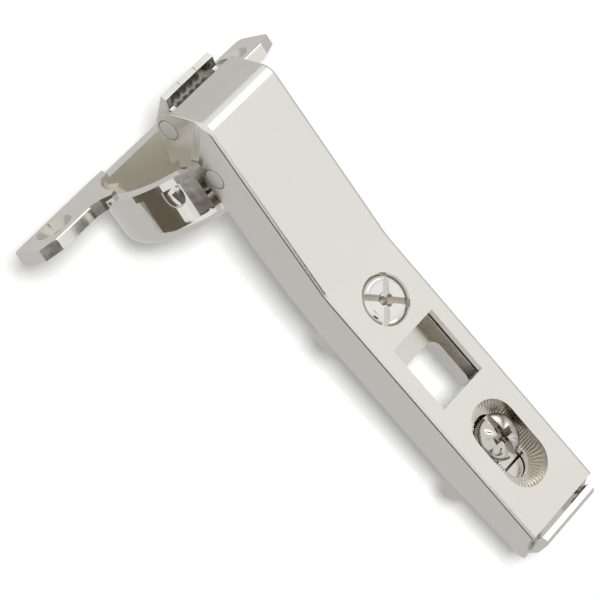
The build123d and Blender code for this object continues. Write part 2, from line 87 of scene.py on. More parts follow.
Pair = tuple[float, float]
Triple = tuple[float, float, float]
Profile = tuple[Pair, ...]
FaceTest = Callable[[Vector, Vector], bool]
Others = Sequence[tuple["Finish", FaceTest]]


class Wiring:
    """A node tree that is filled one fed node at a time."""

    def __init__(self, tree: NodeTree) -> None:
        """Take over a tree."""
        self.tree = tree

    @classmethod
    def blank(cls, owner: Material | World) -> "Wiring":
        """Empty the tree of a material or a world and take it over.

        Args:
            owner: The material or world.

        Returns:
            The wiring of its tree.
        """
        owner.use_nodes = True
        owner.node_tree.nodes.clear()
        return cls(owner.node_tree)

    def feed(self, node: Node, **feeds: object) -> None:
        """Feed a node's inputs.

        Args:
            node: The node.
            feeds: Input names with spaces as underscores, or an underscore and an input's number,
                each with an output socket or a value.
        """
        for label, feed in feeds.items():
            number = label[1:]
            socket = node.inputs[int(number) if number.isdigit() else label.replace("_", " ")]
            if isinstance(feed, NodeSocket):
                self.tree.links.new(feed, socket)
            else:
                socket.default_value = feed

    def node(self, kind: str, **feeds: object) -> Node:
        """Add a node and feed its inputs.

        Args:
            kind: The node's type.
            feeds: Its inputs, as feed takes them.

        Returns:
            The new node.
        """
        made = self.tree.nodes.new(kind)
        self.feed(made, **feeds)
        return made

    def operate(self, operation: str, first: object, second: object) -> NodeSocket:
        """Add a Math node.

        Args:
            operation: What it does.
            first: Its first input, a socket or a value.
            second: Its second input.

        Returns:
            Its output.
        """
        made = self.node("ShaderNodeMath", _0=first, _1=second)
        made.operation = operation
        return made.outputs[0]


class Grain(Enum):
    """Stretch of the fine pattern on a metal's surface."""

    EVEN = (1.0, 1.0, 1.0)
    DRAWN = (1.0, 1.0, 9.0)


@dataclass(frozen=True)
class Finish:
    """One metal finish: the record's slot, its tone, its gloss and the small unevenness in both."""

    name: str
    slot: str
    tone: Triple
    shade: Triple
    gloss: Pair
    scale: float
    relief: float
    grain: Grain = Grain.EVEN
    cloud_scale: float = 140.0
    cloud_ends: Pair = (0.2, 0.8)
    fine_ends: Pair = (0.3, 0.7)
    relief_depth: float = 0.01

    def material(self) -> Material:
        """Build the finish's material, or return it if it was built before.

        Returns:
            A material that reads Object coordinates only.
        """
        made = bpy.data.materials.get(self.name)
        if made:
            return made
        made = bpy.data.materials.new(self.name)
        made.use_nodes = True
        wiring = Wiring(made.node_tree)
        place = wiring.node("ShaderNodeTexCoord").outputs["Object"]
        cloud = wiring.node("ShaderNodeTexNoise", Vector=place, Scale=self.cloud_scale, Detail=2.0)
        tint = wiring.node("ShaderNodeValToRGB", Fac=cloud.outputs["Fac"])
        ends = zip(tint.color_ramp.elements, self.cloud_ends, (self.shade, self.tone))
        for end, position, colour in ends:
            end.position = position
            end.color = (*colour, 1.0)
        run = wiring.node("ShaderNodeMapping", Vector=place, Scale=self.grain.value).outputs[0]
        fine = wiring.node("ShaderNodeTexNoise", Vector=run, Scale=self.scale, Detail=4.0)
        gloss = wiring.node(
            "ShaderNodeMapRange",
            Value=fine.outputs["Fac"],
            From_Min=self.fine_ends[0],
            From_Max=self.fine_ends[1],
            To_Min=self.gloss[0],
            To_Max=self.gloss[1],
        )
        bump = wiring.node(
            "ShaderNodeBump",
            Strength=self.relief,
            Distance=self.relief_depth * MM,
            Height=fine.outputs["Fac"],
        )
        wiring.feed(
            made.node_tree.nodes["Principled BSDF"],
            Metallic=1.0,
            Base_Color=tint.outputs["Color"],
            Roughness=gloss.outputs["Result"],
            Normal=bump.outputs["Normal"],
        )
        return made


NICKEL = Finish(
    "bright_nickel", "arm_sheet", (0.755, 0.735, 0.690), (0.735, 0.715, 0.668), (0.17, 0.24), 900.0, 0.04
)
CAST_NICKEL = Finish(
    "cast_nickel", "cup_casting", (0.755, 0.740, 0.695), (0.715, 0.700, 0.650), (0.08, 0.15), 600.0, 0.07
)
BOWL_NICKEL = Finish(
    "cup_bowl_nickel", "cup_casting", (0.80, 0.765, 0.68), (0.73, 0.695, 0.61), (0.50, 0.60), 500.0, 0.05
)
# Painted shade: a darkened copy of the screw nickel for the depth screw's driver recess and, on the side
# screw, one slot, the centre hole and the gap round the head
RECESS_SHADE_NICKEL = Finish(
    "painted_shade_recess_nickel", "screw_nickel", (0.50, 0.46, 0.40), (0.40, 0.365, 0.31), (0.24, 0.34), 900.0, 0.08
)
# Painted shade: a darkened copy of the nickel for the wall of the arm's pocket and the countersinks of the
# cup's screw holes
WALL_SHADE_NICKEL = Finish(
    "painted_shade_pocket_wall_nickel", "arm_sheet", (0.62, 0.585, 0.52), (0.55, 0.515, 0.45), (0.20, 0.28), 700.0, 0.05
)
SCREW_NICKEL = Finish(
    "screw_nickel", "screw_nickel", (0.79, 0.77, 0.73), (0.74, 0.72, 0.68), (0.12, 0.20), 1400.0, 0.06
)
DULL_NICKEL = Finish(
    "dull_screw_nickel", "screw_nickel", (0.66, 0.64, 0.59), (0.54, 0.52, 0.475), (0.15, 0.25), 1100.0, 0.14
)
# Painted shade: a near-black steel tone laid on the cup's screw-hole bores, the bosses' slots and dimples,
# and the rings in the gaps round the pin heads
SHADE_DARK_STEEL = Finish(
    "painted_shade_dark_steel", "pin_steel", (0.20, 0.18, 0.15), (0.13, 0.115, 0.10), (0.30, 0.42), 800.0, 0.10
)
INNER_STEEL = Finish(
    "satin_inner_steel", "inner_sheet", (0.70, 0.675, 0.625), (0.64, 0.615, 0.565), (0.20, 0.28),
    700.0, 0.03, Grain.DRAWN,
)
PIN_STEEL = Finish(
    "pin_steel", "pin_steel", (0.76, 0.745, 0.70), (0.72, 0.70, 0.66), (0.16, 0.24),
    1200.0, 0.07, Grain.DRAWN,
)
SPRING_STEEL = Finish(
    "spring_steel", "spring_steel", (0.52, 0.49, 0.48), (0.40, 0.38, 0.37), (0.20, 0.30),
    1500.0, 0.10, Grain.DRAWN,
)


def on_arm(along: float, outward: float = 0.0, across: float = 0.0) -> Vector:
    """A place on the arm's rear half: distances behind its knee, over its face and across, in mm."""
    return Vector((*KNEE, across)) + ALONG * along + OUT * outward


def arm_frame(along: float, outward: float = 0.0) -> Matrix:
    """A frame in mm on the arm's rear half: X along it, Y out of its face, Z along the pins."""
    turn = Matrix((ALONG, OUT, ACROSS)).transposed().to_4x4()
    return Matrix.Translation(on_arm(along, outward) * MM) @ turn @ TO_METRES


def pin_frame(x: float, y: float) -> Matrix:
    """A frame in mm on the pivot pin at an X and Y, with its own Y along the pin."""
    turn = Matrix(((1, 0, 0), (0, 0, 1), (0, -1, 0))).transposed().to_4x4()
    return Matrix.Translation(Vector((x, y, 0.0)) * MM) @ turn @ TO_METRES


def linked(name: str, data: ID) -> Object:
    """Make an object at the origin and link it to the scene.

    Args:
        name: The object's name.
        data: Its mesh, camera or lamp.

    Returns:
        The object.
    """
    made = bpy.data.objects.new(name, data)
    bpy.context.scene.collection.objects.link(made)
    return made


def as_object(name: str, work: BMesh) -> Object:
    """Turn a finished bmesh into an object at the origin.

    Args:
        name: The object's name.
        work: The bmesh, which is freed.

    Returns:
        The object, linked to the scene.
    """
    bmesh.ops.remove_doubles(work, verts=work.verts, dist=1e-7)
    bmesh.ops.recalc_face_normals(work, faces=work.faces)
    mesh = bpy.data.meshes.new(name)
    work.to_mesh(mesh)
    work.free()
    return linked(name, mesh)


def absorb(work: BMesh, part: Object) -> None:
    """Move an object's mesh into a bmesh and delete the object."""
    work.from_mesh(part.data)
    bpy.data.objects.remove(part)


def skin(work: BMesh, rings: Sequence[list[BMVert]]) -> None:
    """Join rings of vertices by a wall of faces.

    Args:
        work: The bmesh that holds the vertices.
        rings: Rings of equal length. One that repeats a single vertex closes the wall.
    """
    for first, second in zip(rings, rings[1:]):
        for k in range(len(first)):
            after = (k + 1) % len(first)
            corners = dict.fromkeys((first[k], first[after], second[after], second[k]))
            if len(corners) > 2:
                work.faces.new(list(corners))


def turned(name: str, profile: Profile, place: Matrix, steps: int = 72) -> Object:
    """Turn a profile about a frame's Y axis, as on a lathe.

    Args:
        name: The object's name.
        profile: Radius and height pairs from one end of the axis to the other.
        place: The frame, in millimetres.
        steps: Number of steps round.

    Returns:
        A closed solid of revolution.
    """
    work = bmesh.new()
    angles = [2 * math.pi * k / steps for k in range(steps)]
    rings = []
    for radius, height in profile:
        if radius == 0:
            rings.append([work.verts.new(place @ Vector((0, height, 0)))] * steps)
            continue
        spots = [Vector((radius * math.cos(a), height, radius * math.sin(a))) for a in angles]
        rings.append([work.verts.new(place @ spot) for spot in spots])
    skin(work, rings)
    return as_object(name, work)


def block(
    name: str,
    size: Pair,
    span: Pair,
    place: Matrix,
    turn: float = 0.0,
    taper: float = 1.0,
    shift: Pair = (0.0, 0.0),
) -> Object:
    """Make a straight or tapered block that stands in a frame's Y direction.

    Args:
        name: The object's name.
        size: Its width in X and in Z.
        span: Its lowest and highest Y.
        place: The frame, in millimetres.
        turn: Its turn about Y in degrees.
        taper: Scale of its low end.
        shift: Its middle in X and Z.

    Returns:
        The block.
    """
    work = bmesh.new()
    spin = Matrix.Rotation(math.radians(turn), 4, "Y")
    ends = []
    for height, scale in zip(span, (taper, 1.0)):
        ring = []
        for x, z in ((-1, -1), (1, -1), (1, 1), (-1, 1)):
            wide, deep = x * size[0] / 2 * scale + shift[0], z * size[1] / 2 * scale + shift[1]
            ring.append(work.verts.new(place @ (spin @ Vector((wide, height, deep)))))
        ends.append(ring)
        work.faces.new(ring)
    skin(work, ends)
    return as_object(name, work)


def evaluated(piece: Object) -> Mesh:
    """The new plain mesh that an object's modifiers give."""
    depsgraph = bpy.context.evaluated_depsgraph_get()
    return bpy.data.meshes.new_from_object(piece.evaluated_get(depsgraph))


def carved(piece: Object, cutters: Iterable[Object]) -> Object:
    """Cut blocks or turned shapes out of a solid and delete them.

    Args:
        piece: The solid.
        cutters: What is cut out of it, in this order.

    Returns:
        The same object with its new mesh.
    """
    used = list(cutters)
    for cutter in used:
        cut = piece.modifiers.new("cut", "BOOLEAN")
        cut.operation = "DIFFERENCE"
        cut.solver = "EXACT"
        cut.object = cutter
    mesh = evaluated(piece)
    piece.modifiers.clear()
    piece.data = mesh
    for cutter in used:
        bpy.data.objects.remove(cutter)
    return piece


def copy_of(node: str, name: str, flat: float = 0.6) -> Object:
    """Copy one solid of the frame as a joined mesh with whole flat faces.

    Args:
        node: The solid's name.
        name: The copy's name.
        flat: Angle in degrees under which faces are joined.

    Returns:
        The copy, at the origin.
    """
    work = bmesh.new()
    work.from_mesh(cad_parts[node].data)
    bmesh.ops.remove_doubles(work, verts=work.verts, dist=2e-6)
    limit = math.radians(flat)
    bmesh.ops.dissolve_limit(work, angle_limit=limit, verts=work.verts, edges=work.edges)
    mesh = bpy.data.meshes.new(name)
    work.to_mesh(mesh)
    work.free()
    for stray in list(mesh.color_attributes):
        mesh.color_attributes.remove(stray)
    return linked(name, mesh)


def settle(
    piece: Object,
    body: str,
    finish: Finish,
    nodes: Sequence[str] = (),
    edge: float = 0.12,
    segments: int = 2,
    others: Others = (),
) -> Object:
    """Give a mesh its material, its broken edges and its place in the frame.

    Args:
        piece: A mesh object at the origin.
        body: The body that it moves with.
        finish: Its metal finish.
        nodes: The solids it stands for.
        edge: Width of the broken edge in millimetres, or 0 for none.
        segments: Steps across the broken edge.
        others: Further finishes, each with the test of a face's middle and normal that gives it
            to that face. The first that fits counts.

    Returns:
        The same object.
    """
    piece.data.materials.clear()
    piece.data.materials.append(finish.material())
    faces = piece.data.polygons
    count = len(faces)
    faces.foreach_set("use_smooth", [True] * count)
    marks = [0] * count
    for number, (other, fits) in enumerate(others, 1):
        piece.data.materials.append(other.material())
        marks = [m or number * fits(face.center / MM, face.normal) for m, face in zip(marks, faces)]
    faces.foreach_set("material_index", marks)
    piece.data.set_sharp_from_angle(angle=SHARP_ANGLE)
    if edge > 0:
        broken = piece.modifiers.new("broken_edges", "BEVEL")
        broken.width = edge * MM
        broken.segments = segments
        broken.limit_method = "ANGLE"
        broken.angle_limit = SHARP_ANGLE
        broken.use_clamp_overlap = True
        broken.miter_outer = "MITER_ARC"
    even = piece.modifiers.new("even_shading", "WEIGHTED_NORMAL")
    even.mode = "FACE_AREA"
    even.weight = 100
    even.keep_sharp = True
    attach(piece, body)
    if nodes:
        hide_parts(*nodes)
    log.info("%s: %d faces, rides on %s", piece.name, count, body)
    return piece


def dressed(
    node: str, name: str, body: str, finish: Finish, edge: float = 0.12, others: Others = ()
) -> Object:
    """Copy one solid of the frame and settle the copy in its stead, as settle's arguments say."""
    return settle(copy_of(node, name), body, finish, [node], edge, others=others)


class Recipe(Wiring):
    """A geometry node tree with named inputs that makes one kind of repeated shape."""

    def __init__(self, name: str, floats: Sequence[str], vectors: Sequence[str]) -> None:
        """Start an empty tree.

        Args:
            name: The tree's name.
            floats: Names of its number inputs.
            vectors: Names of its vector inputs.
        """
        super().__init__(bpy.data.node_groups.new(name, "GeometryNodeTree"))
        sockets = [("Geometry", "INPUT", "Geometry"), ("Geometry", "OUTPUT", "Geometry")]
        sockets += [(label, "INPUT", "Float") for label in floats]
        sockets += [(label, "INPUT", "Vector") for label in vectors]
        for label, way, kind in [*sockets, ("Finish", "INPUT", "Material")]:
            self.tree.interface.new_socket(label, in_out=way, socket_type="NodeSocket" + kind)
        self.given = self.tree.nodes.new("NodeGroupInput").outputs

    def end(self, geometry: NodeSocket) -> None:
        """Close the tree: realize instances and set the material.

        Args:
            geometry: What the tree has made.
        """
        real = self.node("GeometryNodeRealizeInstances", Geometry=geometry).outputs[0]
        coat = self.node("GeometryNodeSetMaterial", Geometry=real, Material=self.given["Finish"])
        self.node("NodeGroupOutput", Geometry=coat.outputs[0])

    def make(self, name: str, finish: Finish, base: Mesh, values: dict[str, object]) -> Object:
        """Run the tree once and keep its result as a plain mesh.

        Args:
            name: The piece's name.
            finish: Its metal finish.
            base: The mesh that the tree starts from.
            values: The tree's inputs by name.

        Returns:
            The finished mesh as an object at the origin.
        """
        piece = linked(name, base)
        nodes = piece.modifiers.new(name, "NODES")
        nodes.node_group = self.tree
        given = {**values, "Finish": finish.material()}
        for item in self.tree.interface.items_tree:
            if item.in_out == "INPUT" and item.name in given:
                nodes[item.identifier] = given[item.name]
        mesh = evaluated(piece)
        piece.modifiers.clear()
        piece.data = mesh
        mesh.name = name
        return piece


def coil_recipe() -> Recipe:
    """Tree for a wound wire or a thread: a helix with two straight legs, as thick as its wire.

    Returns:
        The recipe.
    """
    recipe = Recipe(
        "wound_wire",
        ("Turns", "Coil Radius", "Wire Radius", "Length"),
        ("Start", "Turn", "Leg From", "Leg To", "Leg Spread"),
    )
    given = recipe.given
    helix = recipe.node(
        "GeometryNodeCurveSpiral",
        Resolution=28,
        Rotations=given["Turns"],
        Start_Radius=given["Coil Radius"],
        End_Radius=given["Coil Radius"],
        Height=given["Length"],
    )
    placed = recipe.node(
        "GeometryNodeTransform",
        Geometry=helix.outputs[0],
        Translation=given["Start"],
        Rotation=given["Turn"],
    )
    leg = recipe.node("GeometryNodeCurvePrimitiveLine", Start=given["Leg From"], End=given["Leg To"])
    other = recipe.node("GeometryNodeTransform", Geometry=leg.outputs[0], Translation=given["Leg Spread"])
    path = recipe.node("GeometryNodeJoinGeometry")
    for part in (placed, leg, other):
        recipe.feed(path, Geometry=part.outputs[0])
    section = recipe.node("GeometryNodeCurvePrimitiveCircle", Resolution=10, Radius=given["Wire Radius"])
    wire = recipe.node(
        "GeometryNodeCurveToMesh", Curve=path.outputs[0], Profile_Curve=section.outputs[0], Fill_Caps=True
    )
    recipe.end(wire.outputs[0])
    return recipe


@dataclass(frozen=True)
class Coil:
    """Sizes of a wound wire with two straight legs."""

    turns: float
    radius: float
    wire: float
    length: float

    def wind(
        self,
        name: str,
        finish: Finish,
        start: Vector,
        turn: Triple,
        leg: tuple[Vector, Vector],
        spread: float,
    ) -> Object:
        """Wind the wire.

        Args:
            name: The piece's name.
            finish: Its metal finish.
            start: The middle of its first turn.
            turn: Its turn in radians.
            leg: The ends of its first leg.
            spread: Distance of the second leg along Z.

        Returns:
            The wound wire as an object at the origin.
        """
        values = {
            "Turns": self.turns,
            "Coil Radius": self.radius * MM,
            "Wire Radius": self.wire * MM,
            "Length": self.length * MM,
            "Start": tuple(start * MM),
            "Turn": turn,
            "Leg From": tuple(leg[0] * MM),
            "Leg To": tuple(leg[1] * MM),
            "Leg Spread": (0.0, 0.0, spread * MM),
        }
        return coil_recipe().make(name, finish, bpy.data.meshes.new(name + "_start"), values)


def ridge_recipe() -> Recipe:
    """Tree for pressed ridges: small three-sided bars set square across a line.

    Returns:
        The recipe.
    """
    recipe = Recipe("pressed_ridges", ("Pitch", "Ridge Length", "Ridge Radius"), ("Up",))
    given = recipe.given
    line = recipe.node("GeometryNodeMeshToCurve", Mesh=given["Geometry"])
    spots = recipe.node("GeometryNodeResampleCurve", Curve=line.outputs[0])
    spots.mode = "LENGTH"
    recipe.feed(spots, Length=given["Pitch"])
    bar = recipe.node(
        "GeometryNodeMeshCylinder", Vertices=3, Radius=given["Ridge Radius"], Depth=given["Ridge Length"]
    )
    run = recipe.node("GeometryNodeInputTangent").outputs[0]
    upright = recipe.node("FunctionNodeAlignRotationToVector", Vector=given["Up"])
    upright.axis = "X"
    across = recipe.node("FunctionNodeAlignRotationToVector", Rotation=upright.outputs[0], Vector=run)
    across.axis = "Y"
    across.pivot_axis = "X"
    ridges = recipe.node(
        "GeometryNodeInstanceOnPoints",
        Points=spots.outputs[0],
        Instance=bar.outputs[0],
        Rotation=across.outputs[0],
    )
    recipe.end(ridges.outputs[0])
    return recipe


@dataclass
class CupUnit:
    """The cast cup with its screw wings, its pin bosses and the two pivots pressed into it."""

    edge: float = 0.22
    radius: float = 17.5
    depth: float = 10.4
    bottom_round: float = 3.2
    solid_round: float = 1.8
    foot_cuts: int = 3
    bowl_radius: float = 16.0
    bowl_top: float = 1.4
    bowl_floor: float = 0.5
    hole: Pair = (-10.0, 26.0)
    wing_top: float = 2.4
    sink_radius: float = 3.75
    bore_radius: float = 2.1
    hole_margin: float = 0.5
    # Slack round the bore, and how far the normals of its and the countersink's faces lean up; the bore
    # gets a dark painted shade, the countersink a lighter painted shade
    bore_slack: float = 0.1
    bore_lean: float = 0.3
    sink_leans: Pair = (0.2, 0.95)
    boss_turn: float = 52.0
    boss_half_turn: float = 6.2
    boss_span: Pair = (-4.4, 1.3)
    boss_height: float = 0.5
    boss_power: float = 2.4
    boss_steps: int = 48
    boss_cut_depth: float = 1.6
    # Share of the boss's half size and of its height, from the crown to the foot in the wall
    boss_rows: Profile = (
        (0.0, 1.0), (0.35, 0.99), (0.62, 0.94), (0.78, 0.82),
        (0.88, 0.6), (0.95, 0.3), (1.0, -0.1), (1.0, -0.8),
    )
    # Turn from the boss's middle, height, slant, length and width of its slot and its dimple
    boss_cuts: tuple[tuple[float, float, float, float, float], ...] = (
        (-0.6, -0.1, -65.0, 2.6, 0.6), (-2.4, -2.5, 14.0, 2.6, 1.0)
    )

    def shell(self) -> Object:
        """Copy the cast cup, round the foot of its wall more softly and sink its screw holes.

        Returns:
            The cup.
        """
        piece = copy_of("hinge_cup", "cup_shell")
        work = bmesh.new()
        work.from_mesh(piece.data)
        rungs = [e for e in work.edges if all(map(self.in_foot, e.verts)) and self.upright(e)]
        bmesh.ops.subdivide_edges(work, edges=rungs, cuts=self.foot_cuts)
        for vertex in filter(self.in_foot, work.verts):
            spot = vertex.co / MM
            reach = math.hypot(spot.x, spot.z)
            over, under = reach - self.radius + self.solid_round, self.solid_round - self.depth
            turn = min(math.pi / 2, max(0.0, math.atan2(under - spot.y, over)))
            new_reach = self.radius - self.bottom_round * (1 - math.cos(turn))
            new_y = self.bottom_round * (1 - math.sin(turn)) - self.depth
            share = new_reach / reach
            vertex.co = Vector((spot.x * share, new_y, spot.z * share)) * MM
        work.to_mesh(piece.data)
        work.free()
        top, sink, bore = self.wing_top, self.sink_radius, self.bore_radius
        rim = (sink + 1, top + 1)
        cone = ((0.0, top + 1), rim, (bore, top - sink + bore), (bore, -1.0), (0.0, -1.0))
        cuts = []
        for side in (1, -1):
            spot = Vector((self.hole[0], 0.0, side * self.hole[1]))
            cuts.append(turned("countersink", cone, Matrix.Translation(spot * MM) @ TO_METRES))
        # The bores and countersinks of the screw holes get painted shade; the hollow gets its own rougher
        # finish
        finishes = (SHADE_DARK_STEEL, WALL_SHADE_NICKEL, BOWL_NICKEL)
        others = tuple(zip(finishes, (self.in_bore, self.in_sink, self.in_bowl)))
        piece = carved(piece, cuts)
        settle(piece, "cup", CAST_NICKEL, ["hinge_cup"], self.edge, others=others)
        return self.graded(piece)

    def in_foot(self, vertex: BMVert) -> bool:
        """Whether a vertex lies on the rounded foot of the wall.

        Args:
            vertex: A vertex of the cup's copy.

        Returns:
            True on the foot and its two borders.
        """
        reach = math.hypot(vertex.co.x, vertex.co.z) / MM
        under = vertex.co.y / MM < self.solid_round - self.depth + 0.02
        return under and reach > self.radius - self.solid_round - 0.05

    def upright(self, edge: BMEdge) -> bool:
        """Whether an edge climbs the foot rather than running round it."""
        return abs(edge.verts[0].co.y - edge.verts[1].co.y) > 0.3 * MM

    def to_hole(self, spot: Vector) -> float:
        """Distance in mm of a place from the nearer screw hole's axis."""
        return math.hypot(spot.x - self.hole[0], abs(spot.z) - self.hole[1])

    def graded(self, piece: Object) -> Object:
        """Break the cup's edges, but not those of its screw holes.

        Args:
            piece: The settled cup.

        Returns:
            The same object.
        """
        mesh = piece.data
        sharp = mesh.attributes["sharp_edge"].data
        weights = mesh.attributes.new("bevel_weight_edge", "FLOAT", "EDGE").data
        for edge in mesh.edges:
            first, last = (mesh.vertices[end].co for end in edge.vertices)
            away = self.to_hole((first + last) / (2 * MM)) > self.sink_radius + self.hole_margin
            if sharp[edge.index].value and away:
                weights[edge.index].value = 1.0
        piece.modifiers["broken_edges"].limit_method = "WEIGHT"
        piece.modifiers["even_shading"].weight = 50
        return piece

    def in_bore(self, middle: Vector, normal: Vector) -> bool:
        """Whether a face, by its middle and normal, belongs to the straight bore of a screw hole, which
        gets painted shade.
        """
        near = self.to_hole(middle) < self.bore_radius + self.bore_slack
        return near and abs(normal.y) < self.bore_lean

    def in_sink(self, middle: Vector, normal: Vector) -> bool:
        """Whether a face, by its middle and normal, belongs to the countersink of a screw hole, which gets
        painted shade.
        """
        low, high = self.sink_leans
        return self.to_hole(middle) < self.sink_radius and low < normal.y < high

    def in_bowl(self, middle: Vector, normal: Vector) -> bool:
        """Whether a face belongs to the hollow of the cup.

        Args:
            middle: The face's middle in millimetres.
            normal: Its normal.

        Returns:
            True for a face inside the cup's wall that doesn't look outwards.
        """
        reach = math.hypot(middle.x, middle.z)
        outwards = (normal.x * middle.x + normal.z * middle.z) > 0.1 * reach
        within = self.bowl_floor - self.depth < middle.y < self.bowl_top
        return reach < self.bowl_radius and within and not outwards

    def boss_ring(self, share: float, rise: float, side: int) -> list[Vector]:
        """Lay out one ring of a boss on the cup's wall.

        Args:
            share: Its size as a share of the boss's.
            rise: Its height as a share of the boss's.
            side: 1 for the side seen in the picture, -1 for the other.

        Returns:
            The ring's places in metres.
        """
        low, high = self.boss_span
        reach = self.radius + self.boss_height * rise
        spots = []
        for k in range(self.boss_steps):
            angle = 2 * math.pi * k / self.boss_steps
            run, lift = math.cos(angle), math.sin(angle)
            square = abs(run) ** self.boss_power + abs(lift) ** self.boss_power
            bulge = share * square ** (-1 / self.boss_power)
            theta = math.radians(self.boss_turn + self.boss_half_turn * bulge * run)
            height = (low + high) / 2 + (high - low) / 2 * bulge * lift
            spot = Vector((reach * math.cos(theta), height, side * reach * math.sin(theta)))
            spots.append(spot * MM)
        return spots

    def boss(self, side: int) -> Object:
        """Raise the rounded boss that holds the pins on one side of the wall.

        Args:
            side: 1 for the side seen in the picture, -1 for the other.

        Returns:
            The boss, cut with the slot and the dimple of its pin.
        """
        work = bmesh.new()
        spots = [self.boss_ring(share, rise, side) for share, rise in self.boss_rows]
        rings = [[work.verts.new(spot) for spot in ring] for ring in spots]
        skin(work, rings)
        work.faces.new(rings[-1])
        piece = as_object("cup_boss_near" if side > 0 else "cup_boss_far", work)
        lean = Matrix.Rotation(math.radians(-side * self.boss_turn), 4, "Y")
        upright = Matrix.Rotation(math.pi / 2, 4, "Z")
        cuts = []
        for spin, height, slant, long, wide in self.boss_cuts:
            place = lean @ Matrix.Rotation(-side * math.radians(spin), 4, "Y")
            place = place @ Matrix.Translation(Vector((self.radius + 0.15, height, 0)) * MM)
            place = place @ Matrix.Rotation(math.radians(side * slant), 4, "X") @ upright
            size, span = (long, wide), (-self.boss_cut_depth, 0.0)
            cuts.append(block("dent", size, span, place @ TO_METRES))
        # The slot and the dimple get painted shade
        dark = ((SHADE_DARK_STEEL, self.in_dent),)
        return settle(carved(piece, cuts), "cup", CAST_NICKEL, (), 0.0, others=dark)

    def in_dent(self, middle: Vector, normal: Vector) -> bool:
        """Whether a face of a boss belongs to its slot or its dimple.

        Args:
            middle: The face's middle in millimetres.
            normal: Its normal, not used.

        Returns:
            True for a face under the boss's surface and near one of the cuts, which gets painted shade.
        """
        if math.hypot(middle.x, middle.z) >= self.radius + self.boss_height - 0.1:
            return False
        theta = math.degrees(math.atan2(abs(middle.z), middle.x))
        for spin, height, _, long, _ in self.boss_cuts:
            across = self.radius * math.radians(theta - self.boss_turn - spin)
            if math.hypot(across, middle.y - height) < long / 2 + 0.1:
                return True
        return False

    def build(self) -> list[Object]:
        """Build the cup, its bosses and its pins.

        Returns:
            The finished pieces.
        """
        return [
            self.shell(),
            self.boss(1),
            self.boss(-1),
            dressed("cup_pin_outer", "cup_outer_pins", "cup", PIN_STEEL),
            dressed("cup_pin_inner", "cup_inner_pin", "cup", PIN_STEEL),
        ]


@dataclass
class LinkUnit:
    """The two links between the cup and the arm."""

    edge: float = 0.15
    hood_tip: Pair = (14.4, 14.6)
    hood_half: float = 6.7
    hood_slant: float = -50.0
    groove_size: Pair = (5.0, 0.14)
    groove_depth: float = 0.25

    def hooded(self) -> Object:
        """Build the outer link with the fine divides in the end of its hood.

        Returns:
            The link.
        """
        piece = copy_of("outer_link", "hooded_link")
        turn = Matrix.Rotation(math.radians(self.hood_slant), 4, "Z")
        cuts = []
        for share in (-1 / 3, 1 / 3):
            place = Matrix.Translation(Vector((*self.hood_tip, share * self.hood_half)) * MM)
            span = (-self.groove_depth, 1.0)
            cuts.append(block("divide", self.groove_size, span, place @ turn @ TO_METRES))
        return settle(carved(piece, cuts), "outer", NICKEL, ["outer_link"], self.edge)

    def build(self) -> list[Object]:
        """Build both links.

        Returns:
            The finished pieces.
        """
        strap = dressed("inner_link", "strap_link", "inner", INNER_STEEL, self.edge)
        return [self.hooded(), strap]


